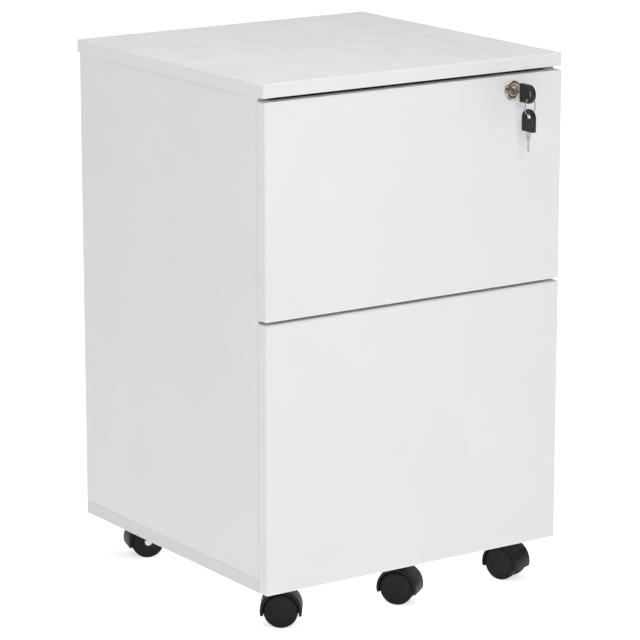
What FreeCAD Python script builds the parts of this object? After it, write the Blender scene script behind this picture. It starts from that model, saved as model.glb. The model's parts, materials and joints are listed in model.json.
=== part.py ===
"""Rolling pedestal cabinet: two full-overlay drawers in a board carcass on five hooded twin-wheel casters.

Frame: millimetres, +Z up, the drawer fronts face -Y. The origin is on the floor, in the middle of the
cabinet's whole footprint, which runs from the outer edge of the hanging key to the back edge of the top.
"""
import FreeCAD, Part
import math
import os
import re
import Sketcher
from FreeCAD import Placement, Rotation, Vector

os.makedirs("parts", exist_ok=True)
doc = FreeCAD.newDocument("RollingPedestal")

# ----------------------------------------------------------------------------- driving dimensions
DIMENSIONS = {
    # carcass
    "front_width": 400, "body_height": 568, "body_depth": 389, "board": 15,
    "edge_round": 0.4, "show_round": 2, "top_side_overhang": 0.8, "top_setback": 1.5, "top_tail": 5,
    "front_gap": 0.6, "rail_depth": 60,
    # drawer fronts, heights counted from the underside of the base
    "reveal": 4.5, "split_height": 307, "split_gap": 3,
    # drawer boxes
    "drawer_board": 12, "drawer_bottom": 5, "groove_depth": 5, "bottom_lift": 6, "box_length": 355,
    "upper_box_foot": 322, "upper_box_tall": 150, "lower_box_foot": 22, "lower_box_tall": 250,
    # ball-bearing slides
    "slide_thick": 12.7, "slide_length": 350, "slide_half": 22.5, "slide_steel": 1.2, "slide_lift": 45,
    # cam fittings and screws
    "cam_round": 15, "cam_deep": 12, "drawer_cam_deep": 9, "cam_edge": 34,
    "screw_head": 6.4, "screw_head_tall": 1.4, "screw_shank": 3.2, "screw_deep": 9,
    # lock, counted from its axis and from the face of the upper front
    "lock_x": 130.3, "lock_drop": 36.8, "rosette_round": 22.5, "rosette_tall": 2.5, "barrel_round": 18.4,
    "plug_round": 13, "plug_stand": 1.8, "crank": 4.5, "crank_pin": 3, "bolt_long": 24.8,
    "housing_wide": 30, "housing_deep": 7.5, "housing_tall": 32, "flange_wide": 46, "flange_thick": 1.5,
    "recess_wide": 18, "recess_deep": 6, "recess_tall": 9,
    # keys
    "key_reach": 40, "key_head_long": 25.3, "key_head_wide": 21, "key_head_thick": 3.6,
    "key_eye": 8.2, "eye_wide": 10, "eye_tall": 5, "collar_long": 8.5, "collar_wide": 8,
    "blade_long": 15, "blade_wide": 4.2, "blade_thick": 1.6, "tang_long": 6,
    "ring_radius": 10, "ring_wire": 0.7, "ring_turn": 18, "spare_offset": 1.7, "spare_swing": 1.5,
    "eye_play": 0.6,
    # casters
    "caster_height": 50, "wheel_radius": 19.5, "wheel_wide": 10.5, "caster_wide": 31.4,
    "hood_radius": 23.7, "hood_inner": 20.4, "hood_web": 8.4, "hood_skirt": 14, "trail": 10,
    "plate_side": 38, "plate_thick": 2.5,
    "plate_pitch": 28, "kingpin_round": 6, "kingpin_foot": 22, "swivel_boss": 22, "axle_round": 5,
    "axle_head": 9.2, "running": 0.05,
    # caster places: distances from the left side and from the drawer face
    "front_row": 43.6, "middle_row": 37.2, "back_row": 347.8,
    "left_line": 36, "middle_line": 194.5, "right_line": 352.3,
}

# Sizes that follow from the driving ones.
DERIVED = {
    "hanging_reach": "key_reach - key_eye + key_head_wide / 2 - spare_offset",
    "face": "(hanging_reach - body_depth - top_tail) / 2",
    "front_back": "face + board",
    "carcass_front": "face + board + front_gap",
    "carcass_back": "face + body_depth",
    "side_in": "front_width / 2 - board",
    "box_out": "front_width / 2 - board - slide_thick",
    "box_in": "front_width / 2 - board - slide_thick - drawer_board",
    "base_top": "caster_height + board",
    "top_under": "caster_height + body_height - board",
    "split": "caster_height + split_height",
    "upper_foot": "caster_height + upper_box_foot",
    "lower_foot": "caster_height + lower_box_foot",
    "slide_front": "carcass_front + 2",
    "lock_z": "caster_height + body_height - lock_drop",
    "plate_under": "caster_height - plate_thick",
    "box_back": "front_back + box_length",
    "eye_y": "face - key_reach + key_eye",
    "ring_top": "lock_z - eye_wide / 2 + ring_wire + eye_play",
    "ring_low": "ring_top - 2 * ring_radius",
    "spare_eye": "ring_low - eye_tall / 2 + ring_wire + eye_play",
}

sheet = doc.addObject("Spreadsheet::Sheet", "Dimensions")
WORDS = re.compile(r"[a-z_]+[a-z]")


def qualified(formula):
    """The formula with every alias read from the sheet."""
    return WORDS.sub(lambda word: "Dimensions." + word.group(), str(formula))


for row, (alias, number) in enumerate(DIMENSIONS.items(), start=1):
    sheet.set(f"A{row}", alias)
    sheet.set(f"B{row}", str(number))
    sheet.setAlias(f"B{row}", alias)
for row, (alias, formula) in enumerate(DERIVED.items(), start=len(DIMENSIONS) + 1):
    sheet.set(f"A{row}", alias)
    sheet.set(f"B{row}", "=" + formula)
    sheet.setAlias(f"B{row}", alias)
doc.recompute()

nodes = []
counter = {}


def unique(name):
    """A document name that no other object has."""
    counter[name] = counter.get(name, 0) + 1
    return f"{name}_{counter[name]}"


def bind(thing, **formulas):
    """Drive properties by formulas; a double underscore in a name stands for a dot."""
    for name, formula in formulas.items():
        thing.setExpression(name.replace("__", "."), qualified(formula))


def place(thing, at, turn=None):
    """Put an object at three formulas, turned about +Z by a formula if one is given."""
    thing.Placement = Placement(Vector(0, 0, 0), Rotation(Vector(0, 0, 1), 1 if turn else 0))
    bind(thing, Placement__Base__x=at[0], Placement__Base__y=at[1], Placement__Base__z=at[2])
    if turn:
        bind(thing, Placement__Rotation__Angle=turn)


def keep(thing, label):
    """Name a finished sub-part and put it on the list of those written out."""
    thing.Label = label
    nodes.append(thing)
    return thing


# ----------------------------------------------------------------------------- sketched bodies
def new_body(label, at=("0", "0", "0"), turn=None):
    body = doc.addObject("PartDesign::Body", unique("Body"))
    body.AllowCompound = True
    place(body, at, turn)
    return keep(body, label)


def sketch_on(body, plane, offset="0"):
    """A sketch on one of the body's own origin planes, moved along the plane's normal."""
    sketch = body.newObject("Sketcher::SketchObject", unique("Sketch"))
    support = [feature for feature in body.Origin.OriginFeatures if feature.Role == plane]
    sketch.AttachmentSupport = [(support[0], "")]
    sketch.MapMode = "FlatFace"
    bind(sketch, AttachmentOffset__Base__z=offset)
    return sketch


def fix(sketch, kind, where, formula):
    """Add one dimension to a sketch and drive it by a formula."""
    index = sketch.addConstraint(Sketcher.Constraint(kind, *where, 1.0))
    name = f"size{index}"
    sketch.renameConstraint(index, name)
    sketch.setExpression(f"Constraints.{name}", qualified(formula))


def polygon(sketch, points):
    """A closed outline; each point is a pair of formulas."""
    count = len(points)
    first = sketch.GeometryCount
    start = [Vector(math.cos(k / count * math.tau), math.sin(k / count * math.tau), 0) for k in range(count)]
    for k in range(count):
        sketch.addGeometry(Part.LineSegment(start[k], start[(k + 1) % count]))
    for k in range(count):
        nearby = first + (k + 1) % count
        sketch.addConstraint(Sketcher.Constraint("Coincident", first + k, 2, nearby, 1))
    for k, (across, up) in enumerate(points):
        fix(sketch, "DistanceX", (-1, 1, first + k, 1), across)
        fix(sketch, "DistanceY", (-1, 1, first + k, 1), up)


def rectangle(sketch, left, low, wide, tall):
    right = f"{left} + {wide}"
    high = f"{low} + {tall}"
    polygon(sketch, [(left, low), (right, low), (right, high), (left, high)])


def circle(sketch, across, up, diameter):
    index = sketch.addGeometry(Part.Circle(Vector(1, 1, 0), Vector(0, 0, 1), 2))
    fix(sketch, "DistanceX", (-1, 1, index, 3), across)
    fix(sketch, "DistanceY", (-1, 1, index, 3), up)
    fix(sketch, "Diameter", (index,), diameter)


def pad(body, sketch, length, reverse=False):
    feature = body.newObject("PartDesign::Pad", unique("Pad"))
    feature.Profile = sketch
    feature.Reversed = reverse
    bind(feature, Length=length)
    body.Tip = feature
    doc.recompute()
    return feature


def pocket(body, sketch, length, reverse=False):
    """Cut a sketch's outlines out of the body, and make sure that something was cut."""
    before = body.Shape.Volume
    feature = body.newObject("PartDesign::Pocket", unique("Pocket"))
    feature.Profile = sketch
    feature.Reversed = reverse
    bind(feature, Length=length)
    body.Tip = feature
    doc.recompute()
    if body.Shape.Volume > before - 0.01:
        raise RuntimeError(f"a pocket cut nothing in {body.Label}")
    return feature


def rounded(body, feature, radius, chosen):
    """Round the edges of a board that a test picks."""
    fillet = body.newObject("PartDesign::Fillet", unique("Fillet"))
    names = [f"Edge{k + 1}" for k, edge in enumerate(feature.Shape.Edges) if chosen(edge)]
    fillet.Base = (feature, names)
    bind(fillet, Radius=radius)
    body.Tip = fillet
    doc.recompute()
    return fillet


def banded(body, feature):
    """Take the sharpness off every edge, as edge banding does."""
    rounded(body, feature, "edge_round", lambda edge: True)


def postformed(body, feature, hidden):
    """Round a board that shows well at all edges but those of its hidden face, and those only lightly.

    The hidden face is told by a test on an edge: whether the edge lies in it.
    """
    shown = rounded(body, feature, "show_round", lambda edge: not hidden(edge))
    rounded(body, shown, "edge_round", hidden)


def on_back_face(edge):
    """Whether an edge lies in the back face of a drawer front, in the board's own frame."""
    return edge.BoundBox.YMin > sheet.get("board") - 0.01


def on_under_face(edge):
    """Whether an edge lies in the underside of the top, in the board's own frame."""
    return edge.BoundBox.ZMax < 0.01


def board(label, plane, at, wide, tall, thick, finish=None):
    """A rectangular board with its low corner at a point; the plane is the one its broad face lies in."""
    body = new_body(label, at)
    sketch = sketch_on(body, plane)
    rectangle(sketch, "0", "0", wide, tall)
    feature = pad(body, sketch, thick, reverse=plane == "XZ_Plane")
    if finish:
        finish(body, feature)
    return body


def drill(body, plane, offset, places, diameter, depth, along_normal):
    """Round blind or through holes from a plane at an offset along its normal."""
    sketch = sketch_on(body, plane, offset)
    for across, up in places:
        circle(sketch, across, up, diameter)
    pocket(body, sketch, depth, reverse=along_normal)


# ----------------------------------------------------------------------------- primitives
AXES = {"x": Rotation(Vector(0, 1, 0), 90), "y": Rotation(Vector(1, 0, 0), -90), "z": Rotation()}


def block(at, wide, deep, tall):
    thing = doc.addObject("Part::Box", unique("Block"))
    bind(thing, Length=wide, Width=deep, Height=tall,
         Placement__Base__x=at[0], Placement__Base__y=at[1], Placement__Base__z=at[2])
    return thing


def rod(at, radius, length, axis="z"):
    """A cylinder that starts at a point and runs along an axis."""
    thing = doc.addObject("Part::Cylinder", unique("Rod"))
    thing.Placement = Placement(Vector(0, 0, 0), AXES[axis])
    bind(thing, Radius=radius, Height=length,
         Placement__Base__x=at[0], Placement__Base__y=at[1], Placement__Base__z=at[2])
    return thing


def fuse(parts):
    thing = doc.addObject("Part::MultiFuse", unique("Fuse"))
    thing.Shapes = parts
    return thing


def cut(base, tool):
    thing = doc.addObject("Part::Cut", unique("Cut"))
    thing.Base = base
    thing.Tool = tool
    return thing


def soften(base, radius, circles_only=True):
    """Round the circular edges of a solid, or all of them."""
    doc.recompute()
    thing = doc.addObject("Part::Fillet", unique("Soft"))
    thing.Base = base
    edges = [k + 1 for k, edge in enumerate(base.Shape.Edges)
             if not circles_only or edge.Closed and len(edge.Vertexes) == 1]
    thing.Edges = [(k, radius, radius) for k in edges]
    return thing


# ----------------------------------------------------------------------------- carcass
SIDES = {"left": -1, "right": 1}
CAM_ROWS = ["50", "carcass_back - carcass_front - 50"]

caster_places = {
    "front_left": ("left_line", "front_row", -36, 1),
    "front_middle": ("middle_line", "middle_row", -53, 1),
    "front_right": ("right_line", "front_row", -68, 1),
    "back_left": ("left_line + 8", "back_row", -18, -1),
    "back_right": ("right_line", "back_row", -40, 1),
}


def caster_at(name):
    """Formulas for the point where a caster's swivel axis meets the floor."""
    across, back, _, _ = caster_places[name]
    return (f"{across} - front_width / 2", f"face + {back}")


def plate_screw_places():
    """Every caster plate screw, as pairs of formulas across and back."""
    found = []
    for name in caster_places:
        across, back = caster_at(name)
        for side in ("-", "+"):
            for end in ("-", "+"):
                found.append((f"{across} {side} plate_pitch / 2", f"{back} {end} plate_pitch / 2"))
    return found


def make_carcass():
    top = board("top_panel", "XY_Plane",
                ("-front_width / 2 - top_side_overhang", "face + top_setback", "top_under"),
                "front_width + 2 * top_side_overhang", "body_depth + top_tail - top_setback", "board",
                lambda body, feature: postformed(body, feature, on_under_face))
    recess = sketch_on(top, "XY_Plane")
    rectangle(recess, "front_width / 2 + top_side_overhang + lock_x - recess_wide / 2",
              "board - top_setback + 1.6", "recess_wide", "recess_deep")
    pocket(top, recess, "recess_tall", reverse=True)

    for side, sign in SIDES.items():
        left = "-front_width / 2" if sign < 0 else "side_in"
        panel = board(f"{side}_side_panel", "YZ_Plane", (left, "carcass_front", "base_top"),
                      "carcass_back - carcass_front", "top_under - base_top", "board", banded)
        cams = [(row, height) for row in CAM_ROWS
                for height in ("cam_edge", "top_under - base_top - cam_edge")]
        inner = "board" if sign < 0 else "0"
        drill(panel, "YZ_Plane", inner, cams, "cam_round", "cam_deep", along_normal=sign > 0)

    base = board("base_panel", "XY_Plane", ("-front_width / 2", "carcass_front", "caster_height"),
                 "front_width", "carcass_back - carcass_front", "board", banded)
    holes = [(f"{across} + front_width / 2", f"{back} - carcass_front")
             for across, back in plate_screw_places()]
    drill(base, "XY_Plane", "0", holes, "screw_shank", "screw_deep", along_normal=True)

    back = board("back_panel", "XZ_Plane", ("-side_in", "carcass_back - board", "base_top"),
                 "2 * side_in", "top_under - base_top", "board")
    cams = [(across, height) for across in ("cam_edge", "2 * side_in - cam_edge") for height in ("60", "420")]
    drill(back, "XZ_Plane", "0", cams, "cam_round", "cam_deep", along_normal=False)

    board("mid_rail", "XY_Plane", ("-side_in", "carcass_front", "split - board / 2"),
          "2 * side_in", "rail_depth", "board")

    housings = new_body("cam_locks")
    for sign in SIDES.values():
        start = "-side_in" if sign < 0 else "side_in"
        sketch = sketch_on(housings, "YZ_Plane", start)
        for row in CAM_ROWS:
            for height in ("base_top + cam_edge", "top_under - cam_edge"):
                circle(sketch, f"carcass_front + {row}", height, "cam_round")
        pad(housings, sketch, "cam_deep", reverse=sign < 0)
    sketch = sketch_on(housings, "XZ_Plane", "board - carcass_back")
    for across in ("-side_in + cam_edge", "side_in - cam_edge"):
        for height in ("base_top + 60", "base_top + 420"):
            circle(sketch, across, height, "cam_round")
    pad(housings, sketch, "cam_deep", reverse=True)


# ----------------------------------------------------------------------------- slides
DRAWERS = {"upper": "upper_foot", "lower": "lower_foot"}


def channel(sketch, sign, centre, web, lip, half, opens_out):
    """A lipped channel seen along the slide. Widths count from the carcass side's inner face.

    The web stands at one width and the flanges run to the other; the lips turn inwards by 1.4.
    """
    def across(width):
        return f"side_in - {width}" if sign > 0 else f"{width} - side_in"

    def up(height, side):
        return f"{centre} {side} ({height})"

    step = "+" if opens_out else "-"
    inner_web = f"({web} {step} slide_steel)"
    inner_lip = f"({lip} {'-' if opens_out else '+'} slide_steel)"
    low_lip = f"{half} - slide_steel - 1.4"
    inside = f"{half} - slide_steel"
    outline = [(across(f"({web})"), up(half, "-")), (across(f"({lip})"), up(half, "-")),
               (across(f"({lip})"), up(low_lip, "-")), (across(inner_lip), up(low_lip, "-")),
               (across(inner_lip), up(inside, "-")), (across(inner_web), up(inside, "-")),
               (across(inner_web), up(inside, "+")), (across(inner_lip), up(inside, "+")),
               (across(inner_lip), up(low_lip, "+")), (across(f"({lip})"), up(low_lip, "+")),
               (across(f"({lip})"), up(half, "+")), (across(f"({web})"), up(half, "+"))]
    polygon(sketch, outline)


def slide_members(label, drawers, web, lip, half, opens_out):
    """The same member of every slide named, as one group of separate solids."""
    members = new_body(label)
    for drawer in drawers:
        for sign in SIDES.values():
            sketch = sketch_on(members, "XZ_Plane", "-slide_front")
            channel(sketch, sign, f"{DRAWERS[drawer]} + slide_lift", web, lip, half, opens_out)
            pad(members, sketch, "slide_length", reverse=True)
    return members


def pierce_webs(members, drawers, seat_width, inwards):
    """Screw holes through the webs, cut from the face that the screw heads sit on."""
    for sign in SIDES.values():
        places = [(row, f"{DRAWERS[drawer]} + slide_lift") for drawer in drawers for row in SLIDE_SCREW_ROWS]
        towards = sign if inwards else -sign
        drill(members, "YZ_Plane", f"{sign} * (side_in - ({seat_width}))", places, "screw_shank",
              "slide_steel", along_normal=towards > 0)


def screws(label, spots):
    """Pan-head screws. A spot is a plane, the seat along its normal, the turn of the screw and its places."""
    group = new_body(label)
    for plane, seat, towards, places in spots:
        head = sketch_on(group, plane, seat)
        shank = sketch_on(group, plane, seat)
        for across, up in places:
            circle(head, across, up, "screw_head")
            circle(shank, across, up, "screw_shank")
        pad(group, head, "screw_head_tall", reverse=towards > 0)
        pad(group, shank, "screw_deep", reverse=towards < 0)


SLIDE_SCREW_ROWS = ["slide_front + 35", "slide_front + 163", "slide_front + 290"]


def slide_screw_spots(drawer, seat_width, towards_side):
    """Screws through one member of both slides of a drawer, into the side panel or the drawer side."""
    spots = []
    for sign in SIDES.values():
        seat = f"{sign} * (side_in - ({seat_width}))"
        turn = sign if towards_side else -sign
        places = [(row, f"{DRAWERS[drawer]} + slide_lift") for row in SLIDE_SCREW_ROWS]
        spots.append(("YZ_Plane", seat, turn, places))
    return spots


def drill_for_slides(body, drawer, sign, low, front, offset, along_normal):
    """Holes for the slide screws in an upright board whose low front corner is given."""
    places = [(f"{row} - ({front})", f"{DRAWERS[drawer]} + slide_lift - ({low})") for row in SLIDE_SCREW_ROWS]
    drill(body, "YZ_Plane", offset, places, "screw_shank", "screw_deep - slide_steel", along_normal)


def make_slides():
    cabinet = slide_members("slide_cabinet_members", DRAWERS, "0", "9", "slide_half", True)
    pierce_webs(cabinet, DRAWERS, "slide_steel", True)
    for drawer in DRAWERS:
        slide_members(f"{drawer}_slide_middle_members", [drawer], "3", "10.2", "slide_half - 5.3", True)
        inner = slide_members(f"{drawer}_slide_drawer_members", [drawer], "slide_thick", "5.4",
                              "slide_half - 10.5", False)
        pierce_webs(inner, [drawer], "slide_thick - slide_steel", False)
    screws("slide_screws", slide_screw_spots("upper", "slide_steel", True)
           + slide_screw_spots("lower", "slide_steel", True))


# ----------------------------------------------------------------------------- drawers
def make_drawer(name, front_low, front_high, foot, tall):
    """A drawer whose front board is the fourth wall of its box, with a bottom held in grooves."""
    front = board(f"{name}_front", "XZ_Plane", ("-front_width / 2", "face", front_low),
                  "front_width", f"{front_high} - ({front_low})", "board",
                  lambda body, feature: postformed(body, feature, on_back_face))
    groove = sketch_on(front, "XZ_Plane", "-board")
    rectangle(groove, "front_width / 2 - box_in - groove_depth", f"{foot} + bottom_lift - ({front_low})",
              "2 * box_in + 2 * groove_depth", "drawer_bottom")
    pocket(front, groove, "groove_depth", reverse=True)

    cam_heights = ["30", f"{tall} - 30"]
    for side, sign in SIDES.items():
        left = "-box_out" if sign < 0 else "box_in"
        wall = board(f"{name}_drawer_{side}_side", "YZ_Plane", (left, "front_back", foot),
                     "box_length", tall, "drawer_board")
        inner = "drawer_board" if sign < 0 else "0"
        outer = "0" if sign < 0 else "drawer_board"
        groove = sketch_on(wall, "YZ_Plane", inner)
        rectangle(groove, "0", "bottom_lift", "box_length - drawer_board", "drawer_bottom")
        pocket(wall, groove, "groove_depth", reverse=sign > 0)
        drill(wall, "YZ_Plane", inner, [("cam_edge", height) for height in cam_heights],
              "cam_round", "drawer_cam_deep", along_normal=sign > 0)
        drill_for_slides(wall, name, sign, foot, "front_back", outer, along_normal=sign < 0)

    board(f"{name}_drawer_back", "XZ_Plane",
          ("-box_in", "box_back - drawer_board", f"{foot} + bottom_lift + drawer_bottom"),
          "2 * box_in", f"{tall} - bottom_lift - drawer_bottom", "drawer_board")
    board(f"{name}_drawer_bottom", "XY_Plane",
          ("-box_in - groove_depth", "front_back - groove_depth", f"{foot} + bottom_lift"),
          "2 * box_in + 2 * groove_depth", "box_length - drawer_board + groove_depth", "drawer_bottom")

    cams = new_body(f"{name}_drawer_cam_locks")
    for sign in SIDES.values():
        sketch = sketch_on(cams, "YZ_Plane", f"{sign} * box_in")
        for height in cam_heights:
            circle(sketch, "front_back + cam_edge", f"{foot} + {height}", "cam_round")
        pad(cams, sketch, "drawer_cam_deep", reverse=sign < 0)


def make_drawers():
    make_drawer("upper", "split + split_gap / 2", "top_under - reveal", "upper_foot", "upper_box_tall")
    make_drawer("lower", "caster_height", "split - split_gap / 2", "lower_foot", "lower_box_tall")
    screws("lower_drawer_screws", slide_screw_spots("lower", "slide_thick - slide_steel", False))

    # Hanging-file rails: a channel pressed over each side's top edge, with a hook rib along it.
    rails = new_body("file_rails")
    for sign in SIDES.values():
        edge = "lower_foot + lower_box_tall"
        sketch = sketch_on(rails, "XZ_Plane", "-front_back - 4")

        def across(inset):
            return f"{sign} * (box_out + 1.2 - ({inset}))"

        wide = "(drawer_board + 2.4)"
        profile = [("0", f"{edge} - 9"), ("1.2", f"{edge} - 9"), ("1.2", edge), (f"{wide} - 1.2", edge),
                   (f"{wide} - 1.2", f"{edge} - 9"), (wide, f"{edge} - 9"), (wide, f"{edge} + 1.4"),
                   ("8.6", f"{edge} + 1.4"), ("8.6", f"{edge} + 7"), ("5.8", f"{edge} + 7"),
                   ("5.8", f"{edge} + 1.4"), ("0", f"{edge} + 1.4")]
        polygon(sketch, [(across(inset), height) for inset, height in profile])
        pad(rails, sketch, "box_length - 24", reverse=True)


# ----------------------------------------------------------------------------- lock
def make_lock():
    """A drawer lock: a cylinder through the board of the upper front and a bolt that rises into the top."""
    front = [node for node in nodes if node.Label == "upper_front"][0]
    hole = [("lock_x + front_width / 2", "lock_z - split - split_gap / 2")]
    drill(front, "XZ_Plane", "0", hole, "barrel_round", "board", along_normal=False)
    flange_holes = [(f"lock_x {sign} 19 + front_width / 2", "lock_z - split - split_gap / 2")
                    for sign in "-+"]
    drill(front, "XZ_Plane", "-board", flange_holes, "screw_shank", "screw_deep - flange_thick",
          along_normal=True)

    barrel = rod(("lock_x", "face", "lock_z"), "barrel_round / 2", "board + 2", "y")
    case = block(("lock_x - housing_wide / 2", "front_back", "lock_z - 15"),
                 "housing_wide", "housing_deep", "housing_tall")
    flange = block(("lock_x - flange_wide / 2", "front_back", "lock_z - 12"),
                   "flange_wide", "flange_thick", "24")
    bore = rod(("lock_x", "face - 1", "lock_z"), "plug_round / 2 + running", "board + 3.6", "y")
    guide = block(("lock_x - 8.2", "front_back + 2.5", "lock_z - 8.5"), "16.4", "4.1", "30")
    ears = [rod((f"lock_x {sign} 19", "front_back - 1", "lock_z"), "screw_shank / 2", "5", "y")
            for sign in "-+"]
    keep(cut(fuse([barrel, case, flange]), fuse([bore, guide] + ears)), "lock_housing")

    ring = rod(("lock_x", "face - rosette_tall", "lock_z"), "rosette_round / 2", "rosette_tall", "y")
    ring = soften(ring, 0.9)
    keep(cut(ring, rod(("lock_x", "face - 5", "lock_z"), "plug_round / 2 + 0.4", "8", "y")), "lock_rosette")

    plug = rod(("lock_x", "face - plug_stand", "lock_z"), "plug_round / 2", "plug_stand + board + 2.5", "y")
    pin = rod(("lock_x", "front_back + 2", "lock_z - crank"), "crank_pin / 2", "4.3", "y")
    keyway = block(("lock_x - blade_thick / 2 - 0.2", "face - 5", "lock_z - blade_wide / 2 - 0.2"),
                   "blade_thick + 0.4", "blade_long + 3", "blade_wide + 0.4")
    keep(cut(fuse([plug, pin]), keyway), "lock_plug")

    bar = block(("lock_x - 8", "front_back + 2.8", "lock_z - 8"), "16", "3.5", "bolt_long")
    slot = block(("lock_x - 6.2", "front_back + 2", "lock_z - crank - 2.6"), "12.4", "6", "5.2")
    keep(cut(bar, slot), "lock_bolt")

    plate = block(("lock_x - 18", "front_back + 1", "top_under - 1.2"), "36", "8", "1.2")
    mouth = block(("lock_x - recess_wide / 2", "front_back + 1.6", "top_under - 2"),
                  "recess_wide", "recess_deep", "4")
    keep(cut(plate, mouth), "lock_strike")

    flange_seat = ("XZ_Plane", "-front_back - flange_thick", 1,
                   [(f"lock_x {sign} 19", "lock_z") for sign in "-+"])
    screws("upper_drawer_screws",
           slide_screw_spots("upper", "slide_thick - slide_steel", False) + [flange_seat])


# ----------------------------------------------------------------------------- keys
def key(name, at, tilt, swing):
    """A key in its own frame: the blade's tip points along +Y and the eye is at the frame's centre.

    The head is a flat bar with a round outer end, moulded over the blade's tang.
    """
    root = "key_head_long - key_eye"
    outer = "key_head_wide / 2 - key_eye"
    thick = "key_head_thick"
    flat = block((f"-{thick} / 2", outer, "-key_head_wide / 2"),
                 thick, f"{root} - ({outer})", "key_head_wide")
    end = rod((f"-{thick} / 2", outer, "0"), "key_head_wide / 2", thick, "x")
    slot = block((f"-{thick}", "-eye_tall / 2", "(eye_tall - eye_wide) / 2"),
                 f"2 * {thick}", "eye_tall", "eye_wide - eye_tall")
    ends = [rod((f"-{thick}", "0", f"{side}(eye_wide - eye_tall) / 2"), "eye_tall / 2", f"2 * {thick}", "x")
            for side in ("", "-")]

    def metal():
        tang = block(("-blade_thick / 2", f"{root} - tang_long", "-collar_wide / 2"),
                     "blade_thick", "tang_long + collar_long", "collar_wide")
        strip = block(("-blade_thick / 2", f"{root}", "-blade_wide / 2"),
                      "blade_thick", "collar_long + blade_long", "blade_wide")
        return fuse([tang, strip])

    head = cut(fuse([flat, end]), fuse([slot] + ends + [metal()]))
    for thing, part in ((head, "head"), (metal(), "blade")):
        thing.Placement = Placement(Vector(0, 0, 0), Rotation(swing, 0, tilt))
        bind(thing, Placement__Base__x=at[0], Placement__Base__y=at[1], Placement__Base__z=at[2])
        keep(thing, f"{name}_{part}")


def make_keys():
    key("key", ("lock_x", "eye_y", "lock_z"), 0, 0)
    key("spare_key", ("lock_x", "eye_y + spare_offset", "spare_eye"), -90, sheet.get("spare_swing"))
    ring = doc.addObject("Part::Torus", "KeyRing")
    bind(ring, Radius1="ring_radius", Radius2="ring_wire")
    turn = sheet.get("ring_turn")
    ring.Placement = Placement(Vector(0, 0, 0), Rotation(turn, 0, 90))
    bind(ring, Placement__Base__x="lock_x", Placement__Base__y="eye_y",
         Placement__Base__z="ring_top - ring_radius")
    keep(ring, "key_ring")


# ----------------------------------------------------------------------------- casters
def make_caster_plates():
    """Five square plates, each with its kingpin riveted in, and the screws that hold them to the base."""
    plates = []
    for name in caster_places:
        across, back = caster_at(name)
        square = block((f"{across} - plate_side / 2", f"{back} - plate_side / 2", "plate_under"),
                       "plate_side", "plate_side", "plate_thick")
        pin = rod((across, back, "kingpin_foot"), "kingpin_round / 2", "plate_under - kingpin_foot + 1")
        plates.append(fuse([square, pin]))
    holes = [rod((across, back, "plate_under - 1"), "screw_shank / 2", "plate_thick + 2")
             for across, back in plate_screw_places()]
    keep(cut(fuse(plates), fuse(holes)), "caster_plates")
    screws("caster_screws", [("XY_Plane", "plate_under", 1, plate_screw_places())])


def make_caster(name):
    """Hood, axle and two wheels, built with the swivel axis on Z and the axle along Y."""
    across, back = caster_at(name)
    _, _, yaw, head_side = caster_places[name]

    def turned(thing, part):
        place(thing, (across, back, "0"), str(yaw))
        keep(thing, f"caster_{name}_{part}")

    shell = rod(("trail", "-caster_wide / 2", "wheel_radius"), "hood_radius", "caster_wide", "y")
    boss = rod(("0", "0", "wheel_radius"), "swivel_boss / 2", "plate_under - 0.5 - wheel_radius")
    wells = [rod(("trail", start, "wheel_radius"), "hood_inner", "caster_wide / 2", "y")
             for start in ("hood_web / 2", "-hood_web / 2 - caster_wide / 2")]
    skirt = block(("-60", "-60", "-60"), "120", "120", "60 + hood_skirt")
    swivel_bore = rod(("0", "0", "kingpin_foot - 2"), "kingpin_round / 2 + running", "60")
    axle_bore = rod(("trail", "-30", "wheel_radius"), "axle_round / 2", "60", "y")
    turned(cut(soften(fuse([shell, boss]), 0.8), fuse(wells + [skirt, swivel_bore, axle_bore])), "hood")

    side = head_side
    stem_start = "-caster_wide / 2 + 3" if side > 0 else "-caster_wide / 2 + 0.9"
    stem = rod(("trail", stem_start, "wheel_radius"), "axle_round / 2", "caster_wide - 3.9", "y")
    head_start = "caster_wide / 2 - 0.9" if side > 0 else "-caster_wide / 2 + 0.3"
    rivet = rod(("trail", head_start, "wheel_radius"), "axle_head / 2", "0.6", "y")
    turned(fuse([stem, rivet]), "axle")

    for hand, sign in (("left", -1), ("right", 1)):
        start = "caster_wide / 2 - wheel_wide - 0.3" if sign > 0 else "-caster_wide / 2 + 0.3"
        disc = soften(rod(("trail", start, "wheel_radius"), "wheel_radius", "wheel_wide", "y"), 1.4)
        through = sign == side
        if through:
            bore = rod(("trail", "-40", "wheel_radius"), "axle_round / 2 + running", "80", "y")
            seat_start = "caster_wide / 2 - 1" if sign > 0 else "-caster_wide / 2 - 1"
            seat = rod(("trail", seat_start, "wheel_radius"), "axle_head / 2 + 0.3", "2", "y")
            turned(cut(disc, fuse([bore, seat])), f"{hand}_wheel")
        else:
            bore_start = "-40" if sign > 0 else "-caster_wide / 2 + 2.7"
            bore_length = "40 + caster_wide / 2 - 2.7" if sign > 0 else "40"
            bore = rod(("trail", bore_start, "wheel_radius"), "axle_round / 2 + running", bore_length, "y")
            turned(cut(disc, bore), f"{hand}_wheel")


# ----------------------------------------------------------------------------- assembly and export
def side_panel(side):
    return [node for node in nodes if node.Label == f"{side}_side_panel"][0]


make_carcass()
for side_name, side_sign in SIDES.items():
    for drawer_name in DRAWERS:
        inner_face = "board" if side_sign < 0 else "0"
        drill_for_slides(side_panel(side_name), drawer_name, side_sign, "base_top", "carcass_front",
                         inner_face, along_normal=side_sign > 0)
make_slides()
make_drawers()
make_lock()
make_keys()
make_caster_plates()
for caster_name in caster_places:
    make_caster(caster_name)
doc.recompute()

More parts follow.
